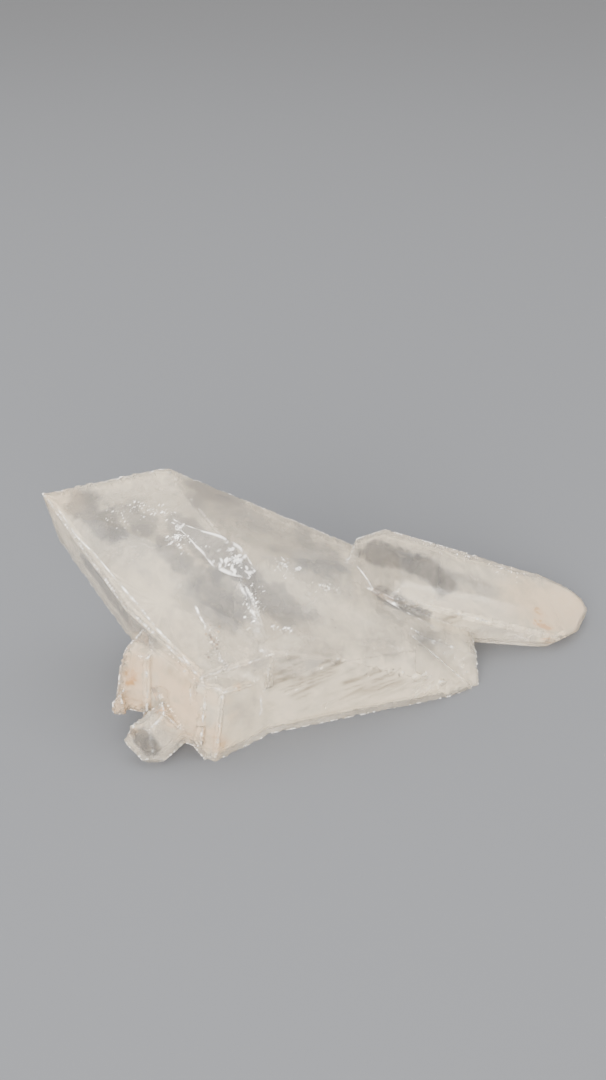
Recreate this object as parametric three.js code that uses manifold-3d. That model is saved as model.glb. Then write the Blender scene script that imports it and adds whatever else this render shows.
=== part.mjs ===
// A Himalayan quartz cluster, lying as it rests on a table.
//
// One large crystal rises to the left from a broken base, with a broad cap face that looks up and to
// the front. A second crystal leans against its back on the right, and a clump of small iron-stained
// crystals hangs under its front corner. They all grew together, so the whole cluster is one solid.
//
// Millimetres. +X runs to the right along the cluster, +Y to its back, +Z up, and it rests on Z = 0.

import * as THREE from "three";
import { ConvexGeometry } from "three/addons/geometries/ConvexGeometry.js";
import { mergeVertices } from "three/addons/utils/BufferGeometryUtils.js";
import Module from "manifold-3d";

const wasm = await Module();
wasm.setup();

const QUARTZ_COLOUR = 0xd9d2c8;

// Large crystal: the corners of its broad cap face, and those of its broken lower end.
const CAP = [-0.002, -0.593, 0.805];
const TIP = [-50, 9.1, 35];
const SHOULDER = [-28.4, 13, 38];
const KNEE = [-18.7, 2.5, 30.3];
const LIP = [-22.4, -16.2, 16.5];
const CHIN = [-48.1, 8.7, 24.9];
const BREAK_TOP = [11.7, -4.4, 10.8];
const SCOOP_TOP = [14.5, -0.4, 10.9];
const SCOOP_FOOT = [26.1, -2.2, 0.4];
const FOOT_LEFT = [-8.6, -12.8, 0];
const FOOT_RIGHT = [26.1, -2.3, 0];

// Second crystal: its highest corner, and the corners of its long upper face and its rough end.
const SECOND_PEAK = [10.6, 20.7, 20];
const SECOND_EDGE = [22.4, 5.1, 10.1];
const SECOND_KEEL = [40.9, 8.9, 0.6];
const SECOND_END = [51.5, 18.4, 2.6];

// Clump: the front corner of its standing block, and the underside of the crystal that hangs left.
const BLOCK_FOOT = [-19.6, -19.9, 0];
const LEFT_UNDERSIDE = [-35, -15, 6.8];

const FRONT_WALL = [0.275, -0.958, -0.02];
const BREAK_FACE = [0.52, -0.62, 0.59];
const SCOOP_FACE = [0.418, -0.698, 0.582];
const STEP_CORNER = [-23.2, -7.2, 23.1];

const SPLINTER_CORNERS = 9;
const GOLDEN_TURN = Math.PI * (3 - Math.sqrt(5));
const FROSTED_LUMPS = 22;
const SCOOP_DEPTH = 0.5;
const FRONT_RIDGES = 26;
const SAME_POINT = 1e-3;

const vector = ([x, y, z]) => new THREE.Vector3(x, y, z);

// A face that looks along a direction and holds a point.
const facing = (direction, point) =>
  new THREE.Plane().setFromNormalAndCoplanarPoint(vector(direction).normalize(), vector(point));

// A small repeatable random number, from 0 to 1.
function dice(seed) {
  let state = seed;
  return () => {
    state = (state * 16807) % 2147483647;
    return state / 2147483647;
  };
}

// The closed mesh of a geometry as a solid for joins and cuts.
function solidOf(geometry) {
  const bare = geometry.index ? geometry.toNonIndexed() : geometry.clone();
  bare.deleteAttribute("normal");
  bare.deleteAttribute("uv");
  const merged = mergeVertices(bare, SAME_POINT);
  const vertProperties = new Float32Array(merged.attributes.position.array);
  const triVerts = new Uint32Array(merged.index.array);
  return new wasm.Manifold(new wasm.Mesh({ numProp: 3, vertProperties, triVerts }));
}

// The point where three faces meet, or null where they run alongside each other.
function meetingPoint(a, b, c) {
  const bc = b.normal.clone().cross(c.normal);
  const volume = a.normal.dot(bc);
  if (Math.abs(volume) < 1e-4) return null;
  const ca = c.normal.clone().cross(a.normal);
  const ab = a.normal.clone().cross(b.normal);
  return bc
    .multiplyScalar(-a.constant)
    .addScaledVector(ca, -b.constant)
    .addScaledVector(ab, -c.constant)
    .divideScalar(volume);
}

// The convex solid that a list of faces bounds.
function crystal(faces) {
  const corners = [];
  const inside = (p) => faces.every((face) => face.distanceToPoint(p) < SAME_POINT);
  const known = (p) => corners.some((corner) => corner.distanceTo(p) < 10 * SAME_POINT);
  for (let i = 0; i < faces.length; i++) {
    for (let j = i + 1; j < faces.length; j++) {
      for (let k = j + 1; k < faces.length; k++) {
        const p = meetingPoint(faces[i], faces[j], faces[k]);
        if (p && inside(p) && !known(p)) corners.push(p);
      }
    }
  }
  return solidOf(new ConvexGeometry(corners));
}

// The large crystal: cap, prism faces, and the breaks that end it below and on the right.
function largeCrystal() {
  return crystal([
    facing(CAP, TIP),
    facing([0.488, -0.156, 0.859], KNEE),
    facing([0.441, -0.368, 0.819], KNEE),
    facing([-0.765, -0.632, -0.122], TIP),
    facing([-0.98, 0.05, -0.19], TIP),
    facing([-0.58, 0.02, -0.81], CHIN),
    facing([-0.61, -0.79, -0.05], LIP),
    facing(FRONT_WALL, FOOT_LEFT),
    facing([0.45, -0.85, 0.27], [22.5, -3.9, 0]),
    facing(BREAK_FACE, BREAK_TOP),
    facing([1, 0.1, -0.05], [27, 2.5, 3]),
    facing([-0.21, 0.95, 0.22], TIP),
    facing([-0.05, 0.996, 0.07], SHOULDER),
    facing([0.05, 0.79, -0.61], [-8, 15.8, 11]),
    facing([-0.42, 0.72, -0.55], [-38, 11.5, 20]),
    facing([0, 0, -1], FOOT_RIGHT),
  ]);
}

// The second crystal, against the back of the large one.
function secondCrystal() {
  return crystal([
    facing([0.36, -0.29, 0.887], SECOND_PEAK),
    facing([0.04, -0.965, 0.26], SECOND_EDGE),
    facing([0.04, -0.98, -0.16], [34, 8.2, 5]),
    facing([-0.08, -0.6, -0.79], SECOND_KEEL),
    facing([0.1, 0.9, 0.42], SECOND_PEAK),
    facing([0.1, 0.8, -0.6], [25, 25.2, 5]),
    facing([-0.4, 0.65, 0.72], SECOND_PEAK),
    facing([-0.95, 0.25, 0.2], [3.9, 14, 19]),
    facing([-0.8, 0.45, -0.4], [2, 18, 12]),
    facing([0.3, 0.87, 0.4], [46.2, 22.3, 6.1]),
    facing([0.7, 0.65, 0.35], [49.6, 21.3, 4.3]),
    facing([0.95, 0.3, 0.2], SECOND_END),
    facing([0.43, -0.64, -0.64], [45.9, 10.6, 2]),
    facing([0.83, -0.41, -0.37], [48.3, 12, 2.2]),
    facing([0, 0, -1], [0, 0, 0]),
  ]);
}

// The blocky crystal that stands under the front corner of the large one.
function standingBlock() {
  return crystal([
    facing([-0.25, -0.95, 0.15], BLOCK_FOOT),
    facing([0.581, -0.814, 0.03], BLOCK_FOOT),
    facing([0.95, 0.3, 0], [-11.2, -14.2, 0]),
    facing([0, 1, 0], [-15, -2, 0]),
    facing([-0.95, 0.3, 0], [-23.8, -18, 0]),
    facing([-0.1, -0.45, 0.89], [-18.9, -17, 15]),
    facing([0.45, -0.35, 0.82], [-18.9, -17, 15]),
    facing([-0.8, -0.2, -0.56], [-21.6, -19.5, 0]),
    facing([0.5, -0.3, -0.81], [-12.5, -15, 0]),
    facing([0, 0, -1], [0, 0, 0]),
  ]);
}

// The peach-coloured crystal left of the block, which stops short of the table.
function middleCrystal() {
  return crystal([
    facing([-0.4, -0.88, 0.25], [-26, -18.2, 2.8]),
    facing([-0.97, 0.15, 0.1], [-32.1, -16.8, 8]),
    facing([0.9, -0.4, 0], [-21, -18, 8]),
    facing([0, -0.2, -0.98], [-25, -18.3, 3]),
    facing([0, 1, 0], [-26, -4, 8]),
    facing(CAP, [-28, -14, 16.8]),
  ]);
}

// The leftmost crystal of the clump, which ends above the table.
function leftCrystal() {
  return crystal([
    facing([-0.98, -0.1, 0.19], [-35.3, -13.8, 14.2]),
    facing([-0.94, 0, 0.33], [-33.4, -12, 21.3]),
    facing([-0.75, 0.62, 0.2], [-34.4, -11.6, 16]),
    facing([-0.3, -0.93, 0.2], [-35, -14.4, 6]),
    facing([0.7, -0.7, 0.1], [-31, -15, 10]),
    facing([0, -0.1, -0.99], LEFT_UNDERSIDE),
    facing([0, 1, 0], [-34, -3, 10]),
    facing(CAP, [-33, -10.7, 19]),
  ]);
}

// The lip that its broken foot flares out in.
function leftLip() {
  return solidOf(
    new ConvexGeometry(
      [
        [-35.2, -15.1, 11],
        [-36.9, -15.2, 8.9],
        [-37.1, -15.1, 7.3],
        [-36.5, -15.6, 6.5],
        [-34.6, -15.8, 6.4],
        [-34.8, -13, 7],
        [-36.4, -13.6, 7.6],
        [-35, -13.6, 10.4],
      ].map(vector),
    ),
  );
}

// The small clear crystal that the clump stands on in front.
function clearCrystal() {
  return crystal([
    facing([-0.3, -0.42, 0.86], [-32.2, -18, 7.7]),
    facing([-0.5, 0.85, 0.1], [-33.4, -18.4, 6]),
    facing([-0.86, -0.3, -0.4], [-34.8, -20, 5]),
    facing([-0.7, -0.4, -0.6], [-33.3, -21, 3.3]),
    facing([0.6, -0.2, -0.77], [-26.9, -19.8, 1.8]),
    facing([-0.35, -0.9, 0.25], [-31, -20.8, 3]),
    facing([0.42, -0.86, 0.3], [-28.3, -20.6, 3]),
    facing([0, -0.85, -0.5], [-29, -20.9, 1.4]),
    facing([0.8, 0, 0.6], [-26, -18, 7]),
    facing([0, 1, 0], [-30, -12, 4]),
    facing([0, 0, -1], [0, 0, 0]),
  ]);
}

// The thin white blade that stands where the block meets the broken front.
function blade() {
  return solidOf(
    new ConvexGeometry(
      [
        [-11.3, -15.4, 11.5],
        [-9.9, -14.4, 11.5],
        [-10.6, -13, 12],
        [-10.4, -15, 17.6],
        [-10, -14, 17],
      ].map(vector),
    ),
  );
}

// A broken splinter: an irregular lump with a handful of corners.
function splinter(centre, size, roll) {
  const corners = [];
  for (let i = 0; i < SPLINTER_CORNERS; i++) {
    const height = 1 - (2 * i + 1) / SPLINTER_CORNERS;
    const turn = i * GOLDEN_TURN + roll() * 1.5;
    const reach = Math.sqrt(1 - height * height);
    const corner = new THREE.Vector3(reach * Math.cos(turn), reach * Math.sin(turn), height);
    corners.push(corner.multiplyScalar(size * (0.75 + 0.5 * roll())).add(centre));
  }
  return solidOf(new ConvexGeometry(corners));
}

// Splinters along a broken edge, each a little off the line and pushed outwards.
function splintersAlong({ path, count, size, out, seed }) {
  const roll = dice(seed);
  const line = new THREE.CatmullRomCurve3(path.map(vector), false, "catmullrom", 0);
  const lumps = [];
  for (let i = 0; i < count; i++) {
    const radius = size * (0.45 + 0.75 * roll());
    const centre = line.getPoint((i + 0.2 + 0.6 * roll()) / count);
    centre.addScaledVector(vector(out).normalize(), radius * (0.35 + 0.4 * roll()));
    lumps.push(splinter(centre, radius, roll));
  }
  return lumps;
}

// Edges that are chipped or broken off ragged, each along the corners of the crystal it is on.
const CHIPPED_EDGES = [
  { path: [[-49.4, 9, 31], [-48.1, 8.7, 24.9]], count: 4, size: 0.8, out: [-1, -0.3, 0], seed: 7 },
  { path: [[-48.1, 8.7, 24.9], [-31.6, -8.8, 12.7]], count: 13, size: 1.2, out: [-0.7, -0.4, -0.6], seed: 11 },
  { path: [[-8.6, -12.9, 0], [22.4, -3.9, 0], [27.2, -1.4, 0]], count: 34, size: 0.8, out: [0.25, -0.8, -0.5], seed: 23 },
  { path: [[-12, -13.5, 0], [-9.5, -13.3, 0]], count: 3, size: 0.9, out: [-0.4, -0.8, -0.5], seed: 89 },
  { path: [[27.3, -1.1, 0.7], [26.9, 3.9, 4.6], [26.4, 9.7, 6]], count: 12, size: 0.9, out: [0.9, -0.2, 0.4], seed: 37 },
  { path: [[27, 21.7, 13.5], [38.7, 22.6, 9.2], [43.5, 23, 7.3]], count: 18, size: 1, out: [0.3, 0.6, 0.7], seed: 41 },
  { path: [[46, 22.6, 6.2], [49.6, 21.3, 4.3], [51.6, 18.3, 2.6]], count: 9, size: 0.7, out: [0.6, 0.5, 0.6], seed: 43 },
  { path: [[51.2, 17.6, 2.5], [48.4, 12.1, 2.3], [43, 9.6, 2.5]], count: 9, size: 0.7, out: [0.7, -0.6, 0.4], seed: 47 },
  { path: [[45.5, 10.6, 1.6], [41.5, 9.4, 0.4], [29, 8, 2.4]], count: 12, size: 0.8, out: [0.4, -0.8, -0.3], seed: 53 },
  { path: [[-34.4, -19.4, 6], [-33, -20.8, 3.6], [-30.4, -21.6, 1.8]], count: 6, size: 0.6, out: [-0.5, -0.8, -0.3], seed: 61 },
  { path: [[-27.3, -20.6, 1.5], [-23.6, -18, 3.8]], count: 4, size: 0.7, out: [0.6, -0.4, -0.7], seed: 67 },
  { path: [[-35.4, -15.2, 6.6], [-31.8, -16, 6.7]], count: 4, size: 0.5, out: [-0.2, -0.7, -0.7], seed: 71 },
  { path: [[-32.1, -15.5, 2.4], [-21.9, -19.9, 3.3]], count: 7, size: 0.8, out: [-0.3, -0.8, -0.5], seed: 73 },
  { path: [[-18.6, -19.2, 0], [-15.5, -17, 0], [-11.6, -14.3, 0]], count: 9, size: 0.6, out: [0.5, -0.7, -0.4], seed: 83 },
];

// The frosted hollow that broke out of the right end of the large crystal.
function breakScoop() {
  const across = vector(SCOOP_FOOT).sub(vector(SCOOP_TOP));
  const side = across.clone().cross(vector(SCOOP_FACE)).normalize();
  const floor = vector(SCOOP_TOP).addScaledVector(vector(SCOOP_FACE), -SCOOP_DEPTH).toArray();
  return crystal([
    facing(SCOOP_FACE.map((c) => -c), floor),
    facing(side.toArray(), SCOOP_TOP),
    facing([-0.36, -0.2, 0.91], [14, 1, 14]),
    facing([1, 0, 0], [40, 0, 0]),
    facing([0, 1, 0], [0, 5.5, 0]),
    facing([0, -1, 0], [0, -12, 0]),
    facing([0, 0, -1], [0, 0, -2]),
    facing([0, 0, 1], [0, 0, 24]),
  ]);
}

// Rough lumps on the floor of that hollow.
function frostedLumps() {
  const roll = dice(97);
  const face = facing(SCOOP_FACE, SCOOP_TOP);
  const start = vector(SCOOP_TOP);
  const along = vector([12, 1.6, -6.8]);
  const down = vector([2.2, -3.4, -4]);
  const lumps = [];
  for (let i = 0; i < FROSTED_LUMPS; i++) {
    const radius = 0.8 + 0.7 * roll();
    const centre = start.clone().addScaledVector(along, 0.1 + 0.8 * roll());
    centre.addScaledVector(down, 0.1 + 0.75 * roll());
    face.projectPoint(centre, centre);
    centre.addScaledVector(face.normal, -SCOOP_DEPTH - 0.72 * radius);
    lumps.push(splinter(centre, radius, roll));
  }
  return lumps;
}

// Long splintery ridges that run up to the right over the broken front.
function frontRidges() {
  const roll = dice(131);
  const foot = vector(FOOT_LEFT);
  const wall = vector(FRONT_WALL).normalize();
  const level = new THREE.Vector3(0.961, 0.276, 0);
  const up = level.clone().cross(wall).negate();
  const ridges = [];
  for (let i = 0; i < FRONT_RIDGES; i++) {
    const place = 1 + 27 * roll();
    const ceiling = 16 - 0.36 * place;
    const length = 5 + 8 * roll();
    const along = level.clone().multiplyScalar(0.93).addScaledVector(up, 0.3 + 0.12 * roll());
    const middle = foot.clone().addScaledVector(level, place).addScaledVector(up, 1 + (ceiling - 1) * roll());
    const across = up.clone().addScaledVector(level, -0.3).multiplyScalar(0.35 + 0.4 * roll());
    const crest = 0.25 + 0.35 * roll();
    ridges.push(
      solidOf(
        new ConvexGeometry([
          middle.clone().addScaledVector(along, -length / 2).addScaledVector(wall, -0.1),
          middle.clone().addScaledVector(along, length / 2).addScaledVector(wall, -0.1),
          middle.clone().add(across).addScaledVector(wall, -0.3),
          middle.clone().sub(across).addScaledVector(wall, -0.3),
          middle.clone().addScaledVector(wall, crest),
        ]),
      ),
    );
  }
  return ridges;
}

// The shallow growth step on the lower right of the broad cap face: nothing at its upper edge, and
// deepest along its left edge.
function capStep() {
  const above = vector(TIP).addScaledVector(vector(CAP), 1).toArray();
  return crystal([
    facing(CAP, above),
    facing([-0.004, 0.615, -0.789], STEP_CORNER),
    facing([-0.87, -0.395, -0.291], STEP_CORNER),
    facing([1, 0, 0], [0, -10, 20]),
    facing([0, -1, 0], [-15, -30, 15]),
  ]);
}

// The narrow dark pit between the left and middle crystals of the clump.
function clumpPit() {
  return splinter(vector([-29.2, -15.4, 10.2]), 1.3, dice(7));
}

const ridged = frontRidges().reduce((whole, ridge) => whole.add(ridge), largeCrystal());
const large = frostedLumps().reduce((whole, lump) => whole.add(lump), ridged.subtract(breakScoop()));
const crystals = [secondCrystal, standingBlock, middleCrystal, leftCrystal, leftLip, clearCrystal, blade];
const built = crystals.reduce((whole, grow) => whole.add(grow()), large);
const chips = CHIPPED_EDGES.flatMap(splintersAlong);
const chipped = [...chips, capStep(), clumpPit()].reduce((whole, chip) => whole.subtract(chip), built);

// All that would reach below the table is broken off level with it.
const floorCut = crystal([
  facing([0, 0, 1], [0, 0, 0]),
  facing([0, 0, -1], [0, 0, -5]),
  facing([1, 0, 0], [80, 0, 0]),
  facing([-1, 0, 0], [-80, 0, 0]),
  facing([0, 1, 0], [0, 60, 0]),
  facing([0, -1, 0], [0, -60, 0]),
]);
const cluster = chipped.subtract(floorCut);

// The triangles of the one outer skin. A chip that another crystal closes over leaves a bubble inside
// the solid, and this drops the bubble's skin, so that the quartz is whole there.
function outerSkin(triangles, corners) {
  const leader = [...Array(corners).keys()];
  const leaderOf = (corner) => {
    while (leader[corner] !== corner) corner = leader[corner];
    return corner;
  };
  for (let i = 0; i < triangles.length; i += 3) {
    leader[leaderOf(triangles[i + 1])] = leaderOf(triangles[i]);
    leader[leaderOf(triangles[i + 2])] = leaderOf(triangles[i]);
  }
  const skins = new Map();
  for (let i = 0; i < triangles.length; i += 3) {
    const skin = leaderOf(triangles[i]);
    if (!skins.has(skin)) skins.set(skin, []);
    skins.get(skin).push(...triangles.slice(i, i + 3));
  }
  return [...skins.values()].sort((a, b) => b.length - a.length)[0];
}

// Geometry of a finished solid.
function geometryOf(solid) {
  const { vertProperties, triVerts } = solid.getMesh();
  const skin = outerSkin(triVerts, vertProperties.length / 3);
  const geometry = new THREE.BufferGeometry();
  geometry.setAttribute("position", new THREE.BufferAttribute(new Float32Array(vertProperties), 3));
  geometry.setIndex(skin);
  return geometry;
}

// The origin is on the table, under the middle of the cluster.
const geometry = geometryOf(cluster);
geometry.computeBoundingBox();
const middle = geometry.boundingBox.getCenter(new THREE.Vector3());
geometry.translate(-middle.x, -middle.y, 0);

const quartz = new THREE.Mesh(
  geometry,
  new THREE.MeshStandardMaterial({ color: QUARTZ_COLOUR, roughness: 0.25, metalness: 0 }),
);
quartz.name = "quartz_cluster";

const group = new THREE.Group();
group.add(quartz);

export default group;
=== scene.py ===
import math

import bmesh
import bpy
import numpy as np
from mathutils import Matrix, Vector, noise
from mathutils.bvhtree import BVHTree
from mathutils.kdtree import KDTree


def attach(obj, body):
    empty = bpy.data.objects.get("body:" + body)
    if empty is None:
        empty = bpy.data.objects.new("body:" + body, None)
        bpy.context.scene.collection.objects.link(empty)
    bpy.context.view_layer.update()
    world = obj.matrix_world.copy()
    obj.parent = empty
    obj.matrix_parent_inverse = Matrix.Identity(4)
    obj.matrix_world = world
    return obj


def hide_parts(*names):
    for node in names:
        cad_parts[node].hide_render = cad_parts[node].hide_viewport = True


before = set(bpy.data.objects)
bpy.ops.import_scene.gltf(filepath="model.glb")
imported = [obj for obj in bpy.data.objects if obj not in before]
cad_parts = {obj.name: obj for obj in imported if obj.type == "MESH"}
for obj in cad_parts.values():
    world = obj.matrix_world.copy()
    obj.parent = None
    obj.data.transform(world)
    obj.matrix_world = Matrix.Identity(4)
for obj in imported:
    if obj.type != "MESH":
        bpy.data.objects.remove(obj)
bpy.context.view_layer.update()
MM = 0.001  # Shapes are given in mm. The camera, the floor and the lights are in metres.


# Camera. It stands in front of the cluster, a little left of its middle and 19 cm away, and looks
# down at it by 34 degrees, upright.
camera = bpy.data.objects.new("camera", bpy.data.cameras.new("camera"))
camera.data.sensor_fit = "VERTICAL"
camera.data.sensor_height = 36
camera.data.lens = 33.33
camera.data.clip_start = 0.01
camera.location = (-0.00578, -0.14098, 0.1245)
camera.rotation_euler = (math.radians(56), 0, 0)
bpy.context.scene.collection.objects.link(camera)
bpy.context.scene.camera = camera


# Quartz cluster. One large crystal, a second one behind it and a clump of small ones under its front
# corner, all grown together in clear to milky quartz. The lower ends are broken off, splintery in
# front and frosted on the right, and the sharp edges are lightly worn.
SKIN_GRAIN = 0.36
SNAP_REACH = 0.5 * SKIN_GRAIN
MARK_STEP = 0.05
MERGE_REACH = 0.04
SHARP_FROM = math.radians(16)
CREASE_FROM = math.radians(28)
FRONT_WALL = Vector((0.275, -0.958, -0.02)).normalized()
FRONT_LEVEL = Vector((0.961, 0.276, 0)).normalized()
FRONT_UP = FRONT_WALL.cross(FRONT_LEVEL)
FROSTED_BREAK = Vector((0.418, -0.698, 0.582)).normalized()


def clamp01(values):
    return np.clip(values, 0, 1)


def ramp(values, low, high):
    """0 up to low, 1 from high on, and smooth between them."""
    t = clamp01((values - low) / (high - low))
    return t * t * (3 - 2 * t)


def soft_noise(points, size, seed):
    """Smooth noise from about -1 to 1 at points, with lumps of the given size."""
    shift = Vector((seed * 17.3, seed * 5.1, seed * 9.7))
    return np.array([noise.noise(Vector(p) / size + shift) for p in points])


def stroke(points, path, reach, wander=0):
    """1 along a path and fading to 0 about the reach, with an edge that wanders."""
    away = np.full(len(points), np.inf)
    path = np.array(path, float)
    for start, run in zip(path, np.diff(path, axis=0)):
        t = clamp01((points - start) @ run / (run @ run))
        away = np.minimum(away, np.linalg.norm(points - start - t[:, None] * run, axis=1))
    return 1 - ramp(away / reach + 0.45 * wander, 0.45, 1)


def even_skin(node, grain):
    """A closed mesh of even squares on the node's surface, which rounds its sharp edges by one grain."""
    dense = node.copy()
    dense.data = node.data.copy()
    dense.name = "quartz"
    bpy.context.scene.collection.objects.link(dense)
    remesh = dense.modifiers.new("even squares", "REMESH")
    remesh.mode = "VOXEL"
    remesh.voxel_size = grain * MM
    wrap = dense.modifiers.new("back to the faces", "SHRINKWRAP")
    wrap.target = node
    graph = bpy.context.evaluated_depsgraph_get()
    mesh = bpy.data.meshes.new_from_object(dense.evaluated_get(graph))
    dense.modifiers.clear()
    dense.data = mesh
    dense.data.name = "quartz"
    dense.parent = None
    dense.matrix_world = node.matrix_world
    return dense


def snap_to_edges(mesh, node, reach):
    """Moves the points that lie within reach of a sharp edge of the node onto that edge."""
    shape = bmesh.new()
    shape.from_mesh(node.data)
    bmesh.ops.remove_doubles(shape, verts=shape.verts, dist=0.001 * MM)
    marks = []
    for line in shape.edges:
        if len(line.link_faces) == 2 and line.calc_face_angle() > SHARP_FROM:
            start, end = (vertex.co.copy() for vertex in line.verts)
            steps = max(1, int((end - start).length / (MARK_STEP * MM)))
            marks.extend(start.lerp(end, k / steps) for k in range(steps + 1))
    shape.clear()
    tree = KDTree(len(marks))
    for number, mark in enumerate(marks):
        tree.insert(mark, number)
    tree.balance()
    for vertex in mesh.vertices:
        mark, _, away = tree.find(vertex.co)
        if away < reach * MM:
            vertex.co = mark
    shape.from_mesh(mesh)
    bmesh.ops.remove_doubles(shape, verts=shape.verts, dist=MERGE_REACH * MM)
    bmesh.ops.dissolve_degenerate(shape, edges=shape.edges, dist=MERGE_REACH * MM)
    bmesh.ops.triangulate(shape, faces=[face for face in shape.faces if len(face.verts) > 4])
    shape.to_mesh(mesh)
    shape.free()


def points_of(mesh):
    values = np.empty(len(mesh.vertices) * 3)
    mesh.vertices.foreach_get("co", values)
    return values.reshape(-1, 3)


def normals_of(mesh):
    values = np.empty(len(mesh.vertices) * 3)
    mesh.vertices.foreach_get("normal", values)
    return values.reshape(-1, 3)


def paint(mesh, name, values):
    """Keeps one number for each point of the mesh, for its material to read."""
    mesh.attributes.new(name, "FLOAT", "POINT").data.foreach_set("value", values.astype(np.float32))


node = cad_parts["quartz_cluster"]
quartz = even_skin(node, SKIN_GRAIN)
snap_to_edges(quartz.data, node, SNAP_REACH)
quartz.data.update()
at = points_of(quartz.data) / MM
out = normals_of(quartz.data)

# Masks of the front wall, the frosted break, the right end and the clump. x, y and z stay views of at.
x, y, z = at.T
on_wall = ramp(out @ np.array(FRONT_WALL), 0.75, 0.93) * ramp(x, -13, -10) * (1 - ramp(x, 24, 27))
on_break = ramp(out @ np.array(FROSTED_BREAK), 0.8, 0.95) * ramp(x, 12, 15) * (1 - ramp(y, 4, 7))
on_end = ramp(x + 0.3 * y, 38, 48)
on_clump = (1 - ramp(z, 12, 15)) * (1 - ramp(x, -12.5, -11)) * (1 - ramp(y, -13, -10))


def neighbour_means(mesh, places):
    """The mean of the neighbours of each point."""
    ends = np.empty(len(mesh.edges) * 2, np.int32)
    mesh.edges.foreach_get("vertices", ends)
    ends = ends.reshape(-1, 2)
    total = np.zeros_like(places)
    count = np.bincount(ends.ravel(), minlength=len(places))
    for here, there in ((0, 1), (1, 0)):
        for axis in range(3):
            total[:, axis] += np.bincount(ends[:, here], places[ends[:, there], axis], len(places))
    return total / count[:, None]


# The ridges of the front wall and the lower end of the second crystal are worn soft.
SOFTENING_STEPS = 6
soft = np.maximum(on_wall, 0.8 * ramp(x, 28, 33))[:, None] * 0.8
for _ in range(SOFTENING_STEPS):
    at += soft * (neighbour_means(quartz.data, at) - at)

# Splinters run along the wall and rise to the right. They are about 10 mm long and 0.9 mm apart.
SPLINTER_LENGTH = 10
SPLINTER_WIDTH = 0.9
along = at @ np.array(FRONT_LEVEL * 0.97 + FRONT_UP * 0.24)
across = at @ np.array(FRONT_UP * 0.97 - FRONT_LEVEL * 0.24)
grain_lines = np.column_stack([along / SPLINTER_LENGTH, across / SPLINTER_WIDTH, 0 * along])
hackles = 1 - 2 * np.abs(soft_noise(grain_lines, 1, 3))
lumps = soft_noise(at, 1.6, 5)
crumbs = soft_noise(at, 0.8, 8)

# The relief. The skin sinks a little, which keeps it inside the solid's box.
SKIN_SINKS = 0.05
height = on_wall * (0.06 * hackles + 0.01 * crumbs)
height += on_break * (0.22 * lumps + 0.16 * crumbs)
height += on_end * (0.07 * lumps + 0.03 * crumbs)
height += on_clump * 0.05 * lumps
at += out * (height - SKIN_SINKS)[:, None]
quartz.data.vertices.foreach_set("co", (at * MM).ravel())
quartz.data.update()
quartz.data.shade_smooth()
quartz.data.set_sharp_from_angle(angle=CREASE_FROM)

# Where the quartz is stained, clear or milky: the path along its middle, its reach and its strength.
IRON_STROKES = [
    ([(-27, -15, 15), (-25, -17, 9)], 8, 0.62),
    ([(-34, -13, 17), (-34.5, -15, 9), (-37, -17.5, 6.8)], 6, 0.72),
    ([(-25, -19, 8), (-22, -19, 4)], 6, 0.6),
    ([(-15.8, -19.2, 13.8), (-13.8, -18.9, 12.6), (-12.8, -18.6, 10.6)], 1.4, 0.82),
    ([(-30.5, -19, 11), (-30, -19, 9)], 1.6, 0.95),
    ([(-35, -16.5, 14), (-34.5, -16.8, 12)], 1.6, 0.85),
    ([(-24, -21.5, 11), (-23, -21.5, 9)], 2, 0.7),
    ([(-20, -22.5, 2), (-20.5, -22, 6)], 2.2, 0.7),
    ([(-20, -14.5, 19), (-13, -15.8, 18.4)], 3.2, 0.32),
    ([(-48.9, 6, 34.9), (-46, 5.5, 34.2)], 4, 0.3),
    ([(38, 13, 6.5), (48, 14, 3.5)], 8, 0.42),
    ([(38.6, 8.3, 5), (41.5, 7.9, 4.2)], 1.4, 0.95),
    ([(39, 11, 5.9), (40, 10.8, 5.6)], 1.7, 0.75),
    ([(40, 5.8, 2.4), (41.5, 5.7, 2.1)], 1.1, 0.9),
]
CLEAR_STROKES = [
    ([(-44, 4.9, 34.1), (-40.3, 1.5, 31.7), (-38.8, 0.8, 31.2)], 3.6, 0.8),
    ([(-35.5, 3.3, 33), (-32.5, 1.5, 31.6)], 3, 0.45),
    ([(-28.9, -1.8, 29.2), (-26.6, -4.2, 27.4)], 2.8, 0.75),
    ([(-22.9, -7.9, 24.7), (-17.8, -10.9, 22.5)], 5, 0.5),
    ([(-12.7, -6.7, 23.8), (-9.5, -8.6, 21.5)], 4.5, 0.6),
    ([(-7.1, -8.6, 20), (-4, -7, 19)], 3, 0.35),
    ([(7, 11.8, 19.1), (11.4, 12, 17.4), (15.2, 11.7, 15.9), (18.4, 11, 14.3), (20.6, 9.4, 13)], 3.4, 1.5),
    ([(22, 10.5, 12.6), (30, 11.5, 10)], 3.2, 0.6),
    ([(8.5, 3.4, 15.8), (11.4, 2.9, 13.9), (16.6, 3.6, 10.6)], 1.9, 1.1),
    ([(-22, 7.5, 33), (-6.3, 5.1, 23.8), (-1, 6, 21)], 6.5, 0.36),
    ([(16, -2.4, 8.8), (20, -2.6, 6.4)], 4.2, 0.5),
    ([(-32.4, -23, 5.2), (-31, -23.8, 4)], 2.1, 1.4),
    ([(-43, -1.5, 26.5), (-38.6, -6.3, 23.1), (-33.8, -11.2, 19.3), (-30, -14, 18)], 2.2, 0.8),
    ([(-27, 1.5, 31), (-21, -2, 29), (-16, -4.5, 26)], 3.2, 0.6),
]
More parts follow.
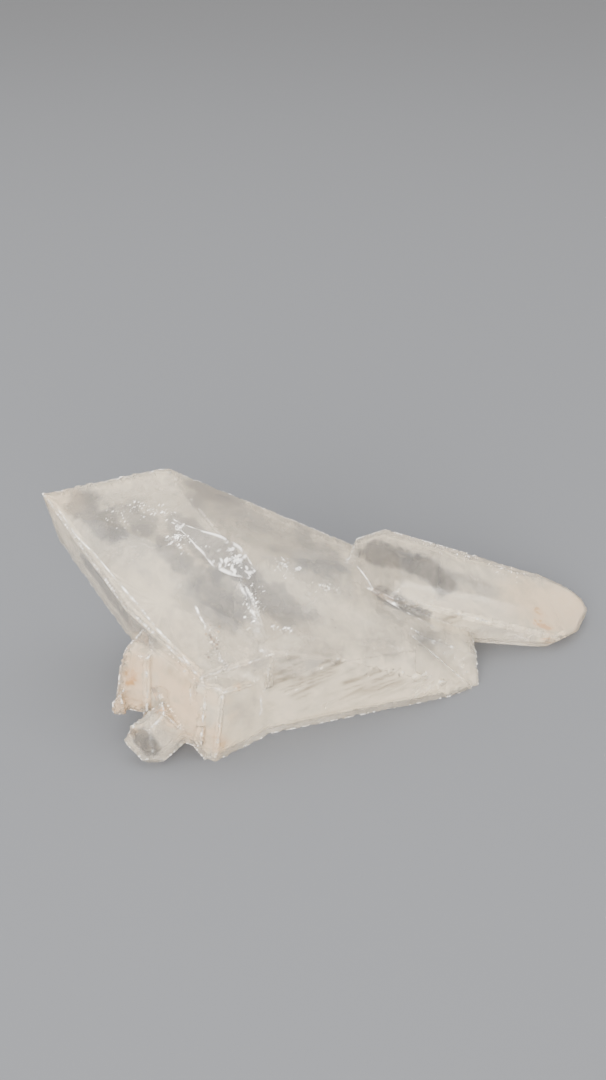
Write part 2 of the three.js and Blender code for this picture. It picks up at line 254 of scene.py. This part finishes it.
MILKY_STROKES = [
    ([(-48.9, 6, 34.9), (-40.7, -3.7, 27.8), (-37, -7.9, 24.7)], 4.5, 0.3),
    ([(-33, -6, 26), (-26, -13, 20.5)], 7, 0.36),
    ([(-44, 9.5, 36), (-28, 12, 38)], 4.5, 0.2),
    ([(-1, -5, 18), (11, -3, 12.5)], 7, 0.22),
    ([(-9, -13, 6), (8, -9, 4), (20, -5, 3)], 9, 0.55),
    ([(3, 9, 20), (5, 6, 18)], 3, 0.3),
    ([(11, 5.5, 15), (22, 5.5, 10), (30, 7, 8)], 4.6, 0.7),
    ([(10, 20, 20), (26, 19, 14), (34, 19, 10)], 3.5, 0.25),
    ([(30, 10, 8), (46, 14, 4)], 9, 0.36),
    ([(-18, -19, 11), (-18, -19, 4)], 8, 0.25),
    ([(-34, -13, 16), (-27, -16, 8)], 6, 0.3),
]
wander = soft_noise(at, 3, 12) + 0.5 * soft_noise(at, 1.2, 13)


def strongest(strokes):
    """The strongest of the strokes at each point."""
    each = [strength * stroke(at, path, reach, wander) for path, reach, strength in strokes]
    return np.max(each, axis=0)


# The stain of the clump hardly reaches the cap above it.
iron = strongest(IRON_STROKES) * (1 - 0.7 * ramp(z, 15.5, 18.5) * ramp(x, -44, -40))
milky = 0.6 + strongest(MILKY_STROKES) - strongest(CLEAR_STROKES) - 0.15 * on_break + 0.12 * on_clump

# Thin dark streaks of painted shade follow the splinters, mostly in the wall's upper half.
streaks = 1 - ramp(np.abs(soft_noise(grain_lines, 1.1, 21)), 0.04, 0.3)
upper_wall = ramp(at @ np.array(FRONT_UP), 3, 8)
painted_groove_shade = on_wall * streaks * ramp(soft_noise(at, 4, 22), -0.3, 0.15) * (0.25 + 0.75 * upper_wall)


# Sharp edges stand out of their neighbours; their white is wear and painted highlight. The edge between the
# cap and the prism face is softer, with less of it.
CAP_EDGE = [(-28.5, 9, 37.5), (-19.5, -0.5, 30.3), (-13, -14.5, 20)]
places = points_of(quartz.data) / MM
bulge = np.einsum("ij,ij->i", places - neighbour_means(quartz.data, places), normals_of(quartz.data))
edge = ramp(bulge, 0.05, 0.13) * (1 - 0.9 * stroke(at, CAP_EDGE, 2))
blurred = stroke(at, [(8, 9, 17), (28, 9, 9)], 6, wander)
frost = 0.35 * on_wall + 0.6 * on_break + 0.5 * on_end + 0.1 * on_clump + 0.35 * blurred
paint(quartz.data, "iron", clamp01(iron))
paint(quartz.data, "milky", np.clip(milky, -0.6, 1.15))
paint(quartz.data, "frost", clamp01(frost))
paint(quartz.data, "painted_groove_shade", clamp01(painted_groove_shade))
paint(quartz.data, "edge", clamp01(edge))


def node_group(name, inputs, outputs):
    """An empty shader node group with named sockets, and its two ends."""
    group = bpy.data.node_groups.new(name, "ShaderNodeTree")
    for label, kind, value in inputs:
        group.interface.new_socket(label, in_out="INPUT", socket_type=kind).default_value = value
    for label, kind in outputs:
        group.interface.new_socket(label, in_out="OUTPUT", socket_type=kind)
    return group, group.nodes.new("NodeGroupInput"), group.nodes.new("NodeGroupOutput")


def add(tree, kind, **settings):
    """A new node with some of its settings given by name."""
    made = tree.nodes.new(kind)
    for name, value in settings.items():
        setattr(made, name, value)
    return made


def feed(tree, sockets, values):
    """Links each socket to an output, or sets it to a plain value."""
    for socket, value in zip(sockets, values):
        if hasattr(value, "is_output"):
            tree.links.new(value, socket)
        else:
            socket.default_value = value


def math_node(tree, operation, a, b):
    made = add(tree, "ShaderNodeMath", operation=operation)
    feed(tree, made.inputs, (a, b))
    return made.outputs[0]


def mix_colour(tree, factor, a, b):
    made = add(tree, "ShaderNodeMix", data_type="RGBA")
    feed(tree, (made.inputs[0], made.inputs[6], made.inputs[7]), (factor, a, b))
    return made.outputs[2]


def map_range(tree, value, low, high, to_low=0.0, to_high=1.0):
    made = add(tree, "ShaderNodeMapRange", interpolation_type="SMOOTHSTEP")
    feed(tree, made.inputs[0:5], (value, low, high, to_low, to_high))
    return made.outputs[0]


# Cloud group: a soft cloud mask with clouds of the given size in metres, in object space.
cloud_group, ins, outs = node_group(
    "quartz clouds",
    [("Size", "NodeSocketFloat", 0.01), ("Low", "NodeSocketFloat", 0.4), ("High", "NodeSocketFloat", 0.7)],
    [("Mask", "NodeSocketFloat")],
)
coords = add(cloud_group, "ShaderNodeTexCoord")
per_size = math_node(cloud_group, "DIVIDE", 1.0, ins.outputs["Size"])
cloud = add(cloud_group, "ShaderNodeTexNoise", noise_dimensions="3D")
cloud.inputs["Detail"].default_value = 5
cloud.inputs["Roughness"].default_value = 0.6
cloud.inputs["Distortion"].default_value = 0.4
cloud_group.links.new(coords.outputs["Object"], cloud.inputs["Vector"])
cloud_group.links.new(per_size, cloud.inputs["Scale"])
mask = map_range(cloud_group, cloud.outputs["Fac"], ins.outputs["Low"], ins.outputs["High"])
cloud_group.links.new(mask, outs.inputs["Mask"])


def clouds(tree, size, low, high):
    """The cloud mask in a material: 0 where the noise is below low, and 1 above high."""
    made = add(tree, "ShaderNodeGroup", node_tree=cloud_group)
    made.inputs["Size"].default_value = size * MM
    made.inputs["Low"].default_value = low
    made.inputs["High"].default_value = high
    return made.outputs["Mask"]


def painted(tree, name):
    """The number that paint kept for each point."""
    return add(tree, "ShaderNodeAttribute", attribute_name=name).outputs["Fac"]


def new_material(name):
    """A material, its node tree and its Principled shader."""
    material = bpy.data.materials.new(name)
    material.use_nodes = True
    tree = material.node_tree
    return material, tree, tree.nodes["Principled BSDF"]


# The greys of the clear and deep windows are painted shade, for the shadowed floor seen through the quartz.
DEEP_WINDOW_SHADE = (0.28, 0.28, 0.285, 1)
CLEAR_WINDOW_SHADE = (0.50, 0.50, 0.50, 1)
MILKY_QUARTZ = (1.0, 0.945, 0.84, 1)
PEACH_STAIN = (0.97, 0.82, 0.64, 1)
RUST_STAIN = (0.66, 0.38, 0.14, 1)
# Painted shade for the splinters' grooves on the front wall.
GROOVE_SHADE = (0.33, 0.29, 0.24, 1)

skin, tree, shader = new_material("quartz")
haze = clouds(tree, 14, 0.40, 0.66)
stain = painted(tree, "iron")
frosting = painted(tree, "frost")
blotches = clouds(tree, 2.2, 0.35, 0.65)
peach = math_node(tree, "MULTIPLY", stain, map_range(tree, blotches, 0, 1, 0.7, 1.2))
rust = map_range(tree, math_node(tree, "MULTIPLY", stain, blotches), 0.55, 0.85)
body = math_node(tree, "ADD", painted(tree, "milky"), map_range(tree, haze, 0, 1, -0.15, 0.15))
# Where the quartz is clear, its colour turns to painted shade, darkest in the deep windows.
colour = mix_colour(tree, map_range(tree, body, 0.0, 0.6), CLEAR_WINDOW_SHADE, MILKY_QUARTZ)
colour = mix_colour(tree, map_range(tree, body, -0.7, 0.1), DEEP_WINDOW_SHADE, colour)
colour = mix_colour(tree, peach, colour, PEACH_STAIN)
colour = mix_colour(tree, rust, colour, RUST_STAIN)
# Painted shade darkens the skin in the splinters' grooves.
groove_shade = math_node(tree, "MULTIPLY", painted(tree, "painted_groove_shade"), 0.9)
colour = mix_colour(tree, groove_shade, colour, GROOVE_SHADE)
tree.links.new(colour, shader.inputs["Base Color"])
polish = map_range(tree, haze, 0, 1, 0.04, 0.16)
rough = math_node(tree, "MAXIMUM", polish, map_range(tree, frosting, 0, 1, 0.03, 0.55))
tree.links.new(rough, shader.inputs["Roughness"])
shader.inputs["Metallic"].default_value = 0
shader.inputs["IOR"].default_value = 1.544
shader.inputs["Transmission Weight"].default_value = 0.87
fine = add(tree, "ShaderNodeTexNoise")
fine.inputs["Scale"].default_value = 900
fine.inputs["Detail"].default_value = 4
coords = add(tree, "ShaderNodeTexCoord")
tree.links.new(coords.outputs["Object"], fine.inputs["Vector"])
bump = add(tree, "ShaderNodeBump")
bump.inputs["Strength"].default_value = 0.12
bump.inputs["Distance"].default_value = 0.0002
tree.links.new(fine.outputs["Fac"], bump.inputs["Height"])
tree.links.new(bump.outputs[0], shader.inputs["Normal"])
absorb = add(tree, "ShaderNodeVolumeAbsorption")
absorb.inputs["Color"].default_value = (0.84, 0.77, 0.66, 1)
absorb.inputs["Density"].default_value = 10
tree.links.new(absorb.outputs[0], tree.nodes["Material Output"].inputs["Volume"])
quartz.data.materials.clear()
quartz.data.materials.append(skin)
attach(quartz, "root")
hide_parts("quartz_cluster")


# Milky layer. Clouds of tiny fluid drops fill the quartz just under its faces, thick in the clump and
# at the right end, and thin in the clear windows.
LAYER_DEPTH = 1.5
LAYER_SHARE = 0.3  # Where the quartz is thin, the layer lies this share of its thickness deep.
LEAST_DEPTH = 0.12
KEPT_FACES = 0.25
MILK = (1.0, 0.915, 0.78, 1)
PEACH_MILK = (0.97, 0.74, 0.50, 1)
RUST_MILK = (0.80, 0.46, 0.20, 1)
layer = quartz.copy()
layer.data = quartz.data.copy()
layer.name = "milky_layer"
layer.data.name = "milky_layer"
bpy.context.scene.collection.objects.link(layer)
walls = BVHTree.FromPolygons([v.co for v in quartz.data.vertices], [p.vertices for p in quartz.data.polygons])
for vertex, inward in zip(layer.data.vertices, -normals_of(quartz.data)):
    inward = Vector(inward)
    far_wall = walls.ray_cast(vertex.co + inward * 0.05 * MM, inward, 4 * LAYER_DEPTH * MM)[3]
    depth = LAYER_DEPTH * MM if far_wall is None else min(LAYER_DEPTH * MM, LAYER_SHARE * far_wall)
    vertex.co += inward * depth
thin = layer.modifiers.new("fewer faces", "DECIMATE")
thin.ratio = KEPT_FACES
graph = bpy.context.evaluated_depsgraph_get()
layer.data = bpy.data.meshes.new_from_object(layer.evaluated_get(graph))
layer.modifiers.clear()


def depth_inside(point):
    """How far under the skin a point in metres lies, in mm: below 0 where it is outside."""
    nearest, normal = walls.find_nearest(point)[:2]
    return (nearest - point).dot(normal) / MM


shape = bmesh.new()
shape.from_mesh(layer.data)
shallow = [f for f in shape.faces if min(depth_inside(v.co) for v in f.verts) < LEAST_DEPTH]
bmesh.ops.delete(shape, geom=shallow, context="FACES")
shape.to_mesh(layer.data)
shape.free()

milk, tree, shader = new_material("milky layer")
shader.inputs["Roughness"].default_value = 0.8
cloud = clouds(tree, 7, 0.34, 0.68)
wisps = clouds(tree, 2.2, 0.40, 0.70)
wisps = math_node(tree, "MULTIPLY", wisps, 0.15)
texture = math_node(tree, "ADD", math_node(tree, "MULTIPLY", cloud, 0.35), wisps)
cover = math_node(tree, "ADD", painted(tree, "milky"), math_node(tree, "SUBTRACT", texture, 0.25))
cover = math_node(tree, "ADD", cover, math_node(tree, "MULTIPLY", painted(tree, "iron"), 0.45))
tree.links.new(map_range(tree, cover, 0.1, 1.3, 0.0, 0.76), shader.inputs["Alpha"])
tint = mix_colour(tree, painted(tree, "iron"), MILK, PEACH_MILK)
tint = mix_colour(tree, map_range(tree, painted(tree, "iron"), 0.72, 0.95), tint, RUST_MILK)
tree.links.new(tint, shader.inputs["Base Color"])
layer.data.materials.clear()
layer.data.materials.append(milk)
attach(layer, "root")
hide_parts("quartz_cluster")


# Worn edges. The sharp edges are bruised and finely chipped and carry a painted highlight, so they show as
# thin broken white lines.
LEAST_WEAR_AND_HIGHLIGHT = 0.15
BAND_LIFT = 0.012


def band_where(mesh, name, values, least, lift):
    """A new mesh of the faces where a value of the points reaches the least, lifted off the skin."""
    shape = bmesh.new()
    shape.from_mesh(mesh)
    shape.verts.ensure_lookup_table()
    low = [f for f in shape.faces if max(values[v.index] for v in f.verts) < least]
    bmesh.ops.delete(shape, geom=low, context="FACES")
    for vertex in shape.verts:
        vertex.co += vertex.normal * lift * MM
    band = bpy.data.meshes.new(name)
    shape.to_mesh(band)
    shape.free()
    return band


worn_and_highlit = bpy.data.objects.new("worn_and_highlit_edges", band_where(quartz.data, "worn_and_highlit_edges", edge, LEAST_WEAR_AND_HIGHLIGHT, BAND_LIFT))
bpy.context.scene.collection.objects.link(worn_and_highlit)
bruise_and_highlight, tree, shader = new_material("bruised and highlit edge")
shader.inputs["Base Color"].default_value = (0.96, 0.95, 0.93, 1)
shader.inputs["Roughness"].default_value = 0.45
nicks = clouds(tree, 1.3, 0.38, 0.62)
# The white of the edges is wear and painted highlight, broken up by nicks.
wear_and_highlight = math_node(tree, "MULTIPLY", painted(tree, "edge"), map_range(tree, nicks, 0, 1, 0.0, 0.8))
tree.links.new(wear_and_highlight, shader.inputs["Alpha"])
worn_and_highlit.data.materials.clear()
worn_and_highlit.data.materials.append(bruise_and_highlight)
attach(worn_and_highlit, "root")


# Conchoidal crack. A shell-shaped fracture inside the large crystal, just under the right edge of its
# cap. It holds a film of air, so its rim and the ripples at its lower end gleam white; the gleam is a
# painted reflection on a white sheet. It is drawn on the skin, as it looks from outside.
CRACK_START = Vector((-28.0, 2.0, 32.0))
CRACK_END = Vector((-14.4, -4.7, 25.3))
CRACK_LOOKS = Vector((0.24, -0.40, 0.86)).normalized()
CRACK_STEPS = 150
CRACK_ROWS = 50
CRACK_LIFT = 0.015
CRACK_GLEAM = 0.75
OUTSIDE = 9  # Far enough from the crack, along the way it looks, to be outside the crystal.


def grid_mesh(name, columns, rows, place):
    """A grid of faces whose points place(u, v) gives, for u and v from 0 to 1."""
    points = []
    for i in range(columns + 1):
        for j in range(rows + 1):
            points.append(place(i / columns, j / rows) * MM)
    faces = []
    for i in range(columns):
        for j in range(rows):
            a = i * (rows + 1) + j
            faces.append((a, a + 1, a + rows + 2, a + rows + 1))
    mesh = bpy.data.meshes.new(name)
    mesh.from_pydata(points, [], faces)
    mesh.shade_smooth()
    return mesh


crack_along = CRACK_END - CRACK_START
crack_across = CRACK_LOOKS.cross(crack_along).normalized()
crack_gleam = []


def crack_point(u, v):
    """A point of the crack, u along it and v across it. Its gleam goes to crack_gleam."""
    side = 2 * v - 1
    half = 0.4 + 2.5 * math.sin(math.pi * 0.9 * u**1.7)
    half *= 1 + 0.18 * noise.noise(Vector((5 * u, 3, 2 * side)))
    to_end = math.hypot((1 - u) * crack_along.length, side * half)
    bend = 2 * noise.noise(Vector((4 * u, 2 * v, 7))) + noise.noise(Vector((13 * u, 6 * v, 2)))
    ripples = ramp(u, 0.40, 0.7) * math.sin(2.4 * to_end + 1.3 * bend)
    rim = ramp(abs(side), 0.72, 0.9) * ramp(noise.noise(Vector((11 * u, 2 * side, 9))), -0.35, 0.0)
    crest = ramp(ripples, 0.45, 0.95) * ramp(noise.noise(Vector((9 * u, 3 * side, 6))), -0.3, 0.1)
    ends = max(ramp(0.2 - u, 0, 0.1), ramp(u, 0.5, 0.7))
    splash = ends * ramp(noise.noise(Vector((20 * u, 4 * v, 4))), 0.15, 0.4)
    crack_gleam.append(max(rim, crest, splash, 0.06) * ramp(1 - abs(side), 0, 0.06))
    point = CRACK_START + crack_along * u + crack_across * side * half
    skin_point, normal = walls.ray_cast((point + CRACK_LOOKS * OUTSIDE) * MM, -CRACK_LOOKS)[:2]
    return skin_point / MM + normal * CRACK_LIFT


crack = bpy.data.objects.new("crack", grid_mesh("crack", CRACK_STEPS, CRACK_ROWS, crack_point))
bpy.context.scene.collection.objects.link(crack)
paint(crack.data, "gleam", CRACK_GLEAM * np.array(crack_gleam))
painted_crack_reflection, tree, shader = new_material("air film")
# A white sheet stands in for the air film's reflection: painted reflection.
shader.inputs["Base Color"].default_value = (1.0, 0.99, 0.975, 1)
shader.inputs["Roughness"].default_value = 0.4
shader.inputs["Metallic"].default_value = 0.1
tree.links.new(painted(tree, "gleam"), shader.inputs["Alpha"])
crack.data.materials.append(painted_crack_reflection)
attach(crack, "root")


# Inner flakes. Short cracks and trapped drops glitter in groups inside both crystals; their white is
# partly their own and partly painted glint. About half of them reach the skin. Each group has its middle, its
# spread, how many there are, and their size.
SKIN_SHARE = 0.55
FLAKE_LIFT = 0.013
FLAKE_GROUPS = [
    ((-27.2, 0.6, 28.6), (1.8, 1.1, 0.9), 60, 0.34),
    ((-34.5, 5.0, 32.0), (3.2, 1.0, 0.7), 46, 0.24),
    ((-30.2, 4.4, 31.4), (2.4, 1.2, 0.9), 40, 0.26),
    ((-24.0, -0.6, 28.2), (2.6, 1.4, 1.2), 26, 0.24),
    ((-9.6, -0.4, 23.4), (2.0, 1.5, 0.9), 60, 0.30),
    ((-14.4, -8.3, 22.0), (1.1, 3.4, 2.4), 60, 0.34),
    ((-2.2, -0.8, 19.2), (1.8, 1.2, 0.8), 50, 0.30),
    ((-10.1, -11.1, 18.4), (1.6, 0.4, 0.3), 14, 0.36),
    ((13.6, -2.0, 9.3), (1.2, 0.9, 0.7), 30, 0.26),
    ((16.0, 19.5, 15.6), (4.5, 1.4, 1.0), 80, 0.30),
    ((23.0, 18.5, 12.8), (4.5, 1.4, 1.0), 80, 0.30),
    ((33.0, 18.0, 9.0), (5.0, 1.5, 1.0), 60, 0.30),
    ((-37.0, 3.4, 31.0), (4.0, 2.0, 1.2), 40, 0.16),
    ((-20.2, -14.4, 18.6), (1.0, 2.0, 1.0), 26, 0.18),
    ((-6.8, 0.6, 22.6), (0.25, 0.2, 0.1), 5, 0.75),
    ((-17.0, -3.4, 27.4), (1.6, 1.0, 0.8), 46, 0.42),
    ((-27.0, 1.0, 31.4), (0.8, 0.5, 0.4), 22, 0.40),
    ((19.0, -2.2, 7.0), (3.6, 1.4, 3.0), 90, 0.24),
]
dice = np.random.default_rng(5)
flake_points = []
flake_faces = []
for centre, spread, count, size in FLAKE_GROUPS:
    for _ in range(count):
        middle = Vector(centre) + Vector(dice.normal(size=3)) * Vector(spread) * 0.6
        nearest, normal = walls.find_nearest(middle * MM)[:2]
        at_skin = dice.random() < SKIN_SHARE
        middle = nearest / MM - normal * (0.15 + 0.7 * dice.random())
        looks = (Vector((0, -0.5, 0.8)) + 0.6 * Vector(dice.normal(size=3))).normalized()
        first = looks.orthogonal().normalized()
        second = looks.cross(first)
        corners = 3 + int(3 * dice.random())
        start = len(flake_points)
        reach = size * (0.4 + 1.3 * dice.random())
        for k in range(corners):
            turn = 2 * math.pi * (k + 0.6 * dice.random()) / corners
            far = reach * (0.5 + 0.7 * dice.random())
            offset = first * math.cos(turn) * far + second * math.sin(turn) * far * 0.4
            place = (middle + offset + looks * 0.15 * size * dice.random()) * MM
            if at_skin:
                nearest, normal = walls.find_nearest(place)[:2]
                place = nearest + normal * FLAKE_LIFT * MM
            flake_points.append(place)
        flake_faces.append(tuple(range(start, start + corners)))
flake_mesh = bpy.data.meshes.new("inner_flakes")
flake_mesh.from_pydata(flake_points, [], flake_faces)
flakes = bpy.data.objects.new("inner_flakes", flake_mesh)
bpy.context.scene.collection.objects.link(flakes)
flakes_and_painted_glints, tree, shader = new_material("inner flakes")
# The flakes' white is partly their own colour and partly painted glint.
shader.inputs["Base Color"].default_value = (1.0, 0.985, 0.965, 1)
shader.inputs["Roughness"].default_value = 0.4
shader.inputs["Metallic"].default_value = 0.1
tree.links.new(map_range(tree, clouds(tree, 0.6, 0.3, 0.6), 0, 1, 0.45, 1.0), shader.inputs["Alpha"])
flake_mesh.materials.append(flakes_and_painted_glints)
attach(flakes, "root")


# Veils. Old cracks that healed as the crystals grew are left as curved sheets of cloud. Each has its
# name, its middle, how far it runs each way, how much it bends, and the seed of its waves.
VEIL_COLUMNS = 40
VEIL_ROWS = 24
VEILS = [
    ("veil_left", (-31, 1, 26.5), (13, -6, -2), (3, 6, -4), 1.5, 2),
    ("veil_low", (-27, -7, 20), (11, -8, -6), (2, 5, 6), 1.2, 3),
    ("veil_edge", (-14, -8.5, 20.5), (3, -8, -6), (-1.5, 1.5, -3), 0.6, 5),
    ("veil_body", (-3, 0, 14), (22, -3, -10), (2, 9, 2), 2.0, 7),
    ("veil_second", (24, 13, 8), (20, -1, -8), (1, 6, 3), 1.5, 9),
    ("veil_end", (40, 13, 4), (9, 2, -2), (0, 5, 1), 0.8, 11),
]
veil_stuff, tree, shader = new_material("veil")
shader.inputs["Base Color"].default_value = (0.93, 0.92, 0.90, 1)
shader.inputs["Roughness"].default_value = 0.7
smoke = math_node(tree, "MULTIPLY", clouds(tree, 4, 0.42, 0.72), clouds(tree, 1.4, 0.2, 0.6))
smoke = math_node(tree, "MULTIPLY", smoke, 0.85)
tree.links.new(math_node(tree, "MULTIPLY", painted(tree, "fade"), smoke), shader.inputs["Alpha"])
for name, centre, along, across, bend, seed in VEILS:
    fades = []

    def veil_point(u, v):
        a = 2 * u - 1
        b = 2 * v - 1
        looks = Vector(along).cross(Vector(across)).normalized()
        lift = bend * (a * a - 0.5) + 0.8 * bend * noise.noise(Vector((1.5 * a, 1.5 * b, seed)))
        fades.append(ramp(1 - math.hypot(a, b), 0, 0.5))
        return Vector(centre) + Vector(along) * a / 2 * 1.2 + Vector(across) * b / 2 * 1.4 + looks * lift

    veil = bpy.data.objects.new(name, grid_mesh(name, VEIL_COLUMNS, VEIL_ROWS, veil_point))
    bpy.context.scene.collection.objects.link(veil)
    paint(veil.data, "fade", np.array(fades))
    veil.data.materials.append(veil_stuff)
    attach(veil, "root")


# Healed seams. Where cracks closed again they left bright, broken white lines just under the faces.
# Each has the path of its middle and its width. They are drawn on the skin.
VEIN = [
    (-16.6, -6.4, 25.2),
    (-14.4, -9.1, 23),
    (-13.5, -11.6, 21.2),
    (-13.2, -14.2, 19.2),
    (-11.7, -16.3, 17.3),
]
SEAM_LIFT = 0.012
SEAM_COLUMNS = 60
SEAM_ROWS = 6
SEAMS = [
    (VEIN, 1.5),
    ([(-23.8, -9.4, 22.9), (-21.9, -12.7, 20.4), (-19.7, -15.5, 18.1)], 0.6),
    ([(-11.5, -16.4, 16.8), (-11.8, -17.9, 11.7), (-12.1, -19.1, 5)], 0.55),
    ([(3.3, 7.9, 19.4), (6.8, 3.2, 16.1), (10.8, 2.4, 14.3), (15.2, 1.5, 12.2), (19.2, 1.1, 9.1)], 0.4),
    ([(-50.3, 5.7, 34.7), (-36.7, -6.7, 25.8)], 0.35),
    ([(-36.7, -6.7, 25.8), (-23.4, -19, 16.8)], 0.55),
]
healed, tree, shader = new_material("healed seam")
shader.inputs["Base Color"].default_value = (1.0, 0.98, 0.95, 1)
shader.inputs["Roughness"].default_value = 0.5
broken = math_node(tree, "MULTIPLY", clouds(tree, 3, 0.35, 0.6), clouds(tree, 0.8, 0.3, 0.6))
tree.links.new(math_node(tree, "MULTIPLY", painted(tree, "fade"), broken), shader.inputs["Alpha"])
for number, (path, width) in enumerate(SEAMS):
    path = np.array(path)
    reached = np.concatenate([[0], np.cumsum(np.linalg.norm(np.diff(path, axis=0), axis=1))])
    fades = []

    def on_path(distance):
        return Vector([np.interp(distance, reached, path[:, axis]) for axis in range(3)])

    def seam_point(u, v):
        distance = u * reached[-1]
        place = on_path(distance)
        normal = walls.find_nearest(place * MM)[1]
        side = normal.cross(on_path(distance + 0.5) - on_path(distance - 0.5)).normalized()
        wave = 0.5 * noise.noise(Vector((3 * u, number, 5)))
        nearest, normal = walls.find_nearest((place + side * (width * (v - 0.5) + wave)) * MM)[:2]
        fades.append(ramp(1 - abs(2 * v - 1), 0, 0.8) * ramp(min(u, 1 - u), 0, 0.12))
        return nearest / MM + normal * SEAM_LIFT

    name = f"seam_{number}"
    seam = bpy.data.objects.new(name, grid_mesh(name, SEAM_COLUMNS, SEAM_ROWS, seam_point))
    bpy.context.scene.collection.objects.link(seam)
    paint(seam.data, "fade", np.array(fades))
    seam.data.materials.append(healed)
    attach(seam, "root")


# Specks. Rust and soot-coloured grains sit on the cap near its front corner, and a row of dark growth
# lines, painted shade on the growth steps, marks the end of the second crystal's front edge. A dark slit of
# painted shade parts two crystals of the clump.
SPECK_COUNT = 27
SPECK_CENTRES = [(-20.7, -13.6, 20.4), (-20.2, -14.7, 19.6), (-19.9, -15.6, 18.9)]
SPECK_CORNERS = 6
SPECK_LIFT = 0.03
BLACK_SPECK = Vector((-21.1, -17.1, 18.0))
BAR_COUNT = 12
BAR_LIFT = 0.05
BAR_START = Vector((6.9, 3.5, 16.5))
BAR_END = Vector((10.9, 3.1, 14.5))
BAR_DROP = Vector((-0.7, -0.7, -0.7))
SLIT = [
    (-30.9, -17.2, 11.4),
    (-30.4, -17.2, 11.5),
    (-29.9, -17.5, 9.9),
    (-30.1, -17.8, 8.9),
    (-30.6, -17.5, 9.8),
]
SOOT_AND_SHADE = (0.16, 0.13, 0.11, 1)
RUST_AND_SHADE = (0.42, 0.30, 0.20, 1)
speck_points = []
speck_faces = []


def add_speck(places, lift):
    """One dark face with its corners on the skin."""
    first = len(speck_points)
    speck_faces.append(tuple(range(first, first + len(places))))
    for place in places:
        nearest, normal = walls.find_nearest(place * MM)[:2]
        speck_points.append(nearest + normal * lift * MM)


dice = np.random.default_rng(19)
for number in range(SPECK_COUNT):
    size = 0.1 + 0.13 * dice.random()
    middle = Vector(SPECK_CENTRES[number % len(SPECK_CENTRES)]) + Vector(dice.normal(size=3)) * 0.55
    if number == 0:
        middle, size = BLACK_SPECK, 0.26
    turns = [2 * math.pi * k / SPECK_CORNERS for k in range(SPECK_CORNERS)]
    ring = [middle + Vector((math.cos(t), 0.8 * math.sin(t), 0.6 * math.sin(t))) * size for t in turns]
    add_speck(ring, SPECK_LIFT)
# The growth lines are dark bars of painted shade on the growth steps.
for number in range(BAR_COUNT):
    top = BAR_START.lerp(BAR_END, (number + 0.3 * dice.random()) / BAR_COUNT)
    width = (BAR_END - BAR_START) * 0.05
    drop = BAR_DROP * (0.8 + 0.4 * dice.random())
    add_speck((top, top + width, top + width + drop, top + drop), BAR_LIFT)
# The slit is a dark face of painted shade between two crystals of the clump.
add_speck([Vector(place) for place in SLIT], SPECK_LIFT)
speck_mesh = bpy.data.meshes.new("specks")
speck_mesh.from_pydata(speck_points, [], speck_faces)
specks = bpy.data.objects.new("specks", speck_mesh)
bpy.context.scene.collection.objects.link(specks)
specks_and_shade, tree, shader = new_material("rusty specks and painted shade")
grain = clouds(tree, 0.9, 0.4, 0.6)
tree.links.new(mix_colour(tree, grain, SOOT_AND_SHADE, RUST_AND_SHADE), shader.inputs["Base Color"])
shader.inputs["Roughness"].default_value = 0.8
shader.inputs["Alpha"].default_value = 0.75
speck_mesh.materials.append(specks_and_shade)
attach(specks, "root")


# Studio. A plain grey floor under a pale dome, with soft lights overhead, on the left and, the
# strongest, low in front. Its lengths are in metres.
FLOOR_CORNERS = [(-3, -3, 0), (3, -3, 0), (3, 3, 0), (-3, 3, 0)]
DOME_LOW = (0.60, 0.595, 0.585, 1)
DOME_HIGH = (1.0, 0.96, 0.905, 1)
floor_mesh = bpy.data.meshes.new("floor")
floor_mesh.from_pydata(FLOOR_CORNERS, [], [(0, 1, 2, 3)])
floor = bpy.data.objects.new("floor", floor_mesh)
bpy.context.scene.collection.objects.link(floor)
grey, tree, shader = new_material("grey floor")
shader.inputs["Base Color"].default_value = (0.142, 0.15, 0.166, 1)
shader.inputs["Roughness"].default_value = 0.8
floor_mesh.materials.append(grey)


def soft_light(name, place, aim, size, power, colour=(1, 1, 1)):
    """A rectangular area light at a place, turned to its aim."""
    light = bpy.data.objects.new(name, bpy.data.lights.new(name, "AREA"))
    light.data.shape = "RECTANGLE"
    light.data.size, light.data.size_y = size
    light.data.energy = power
    light.data.color = colour
    light.location = place
    light.rotation_euler = (Vector(aim) - Vector(place)).to_track_quat("-Z", "Y").to_euler()
    bpy.context.scene.collection.objects.link(light)


soft_light("overhead light", (0.05, 0.15, 0.7), (0, 0, 0.01), (0.7, 0.5), 3.4)
soft_light("left light", (-0.7, 0.1, 0.35), (0, 0, 0.02), (0.4, 0.4), 1.5)
soft_light("front light", (-0.15, -0.85, 0.32), (0, 0, 0.015), (1.0, 0.7), 29, (1, 0.97, 0.92))
world = bpy.data.worlds.new("studio")
world.use_nodes = True
tree = world.node_tree
where = tree.nodes.new("ShaderNodeTexCoord")
split = tree.nodes.new("ShaderNodeSeparateXYZ")
tree.links.new(where.outputs["Generated"], split.inputs[0])
dome = mix_colour(tree, map_range(tree, split.outputs["Z"], -0.05, 0.75), DOME_LOW, DOME_HIGH)
tree.links.new(dome, tree.nodes["Background"].inputs["Color"])
tree.nodes["Background"].inputs["Strength"].default_value = 1.52
bpy.context.scene.world = world
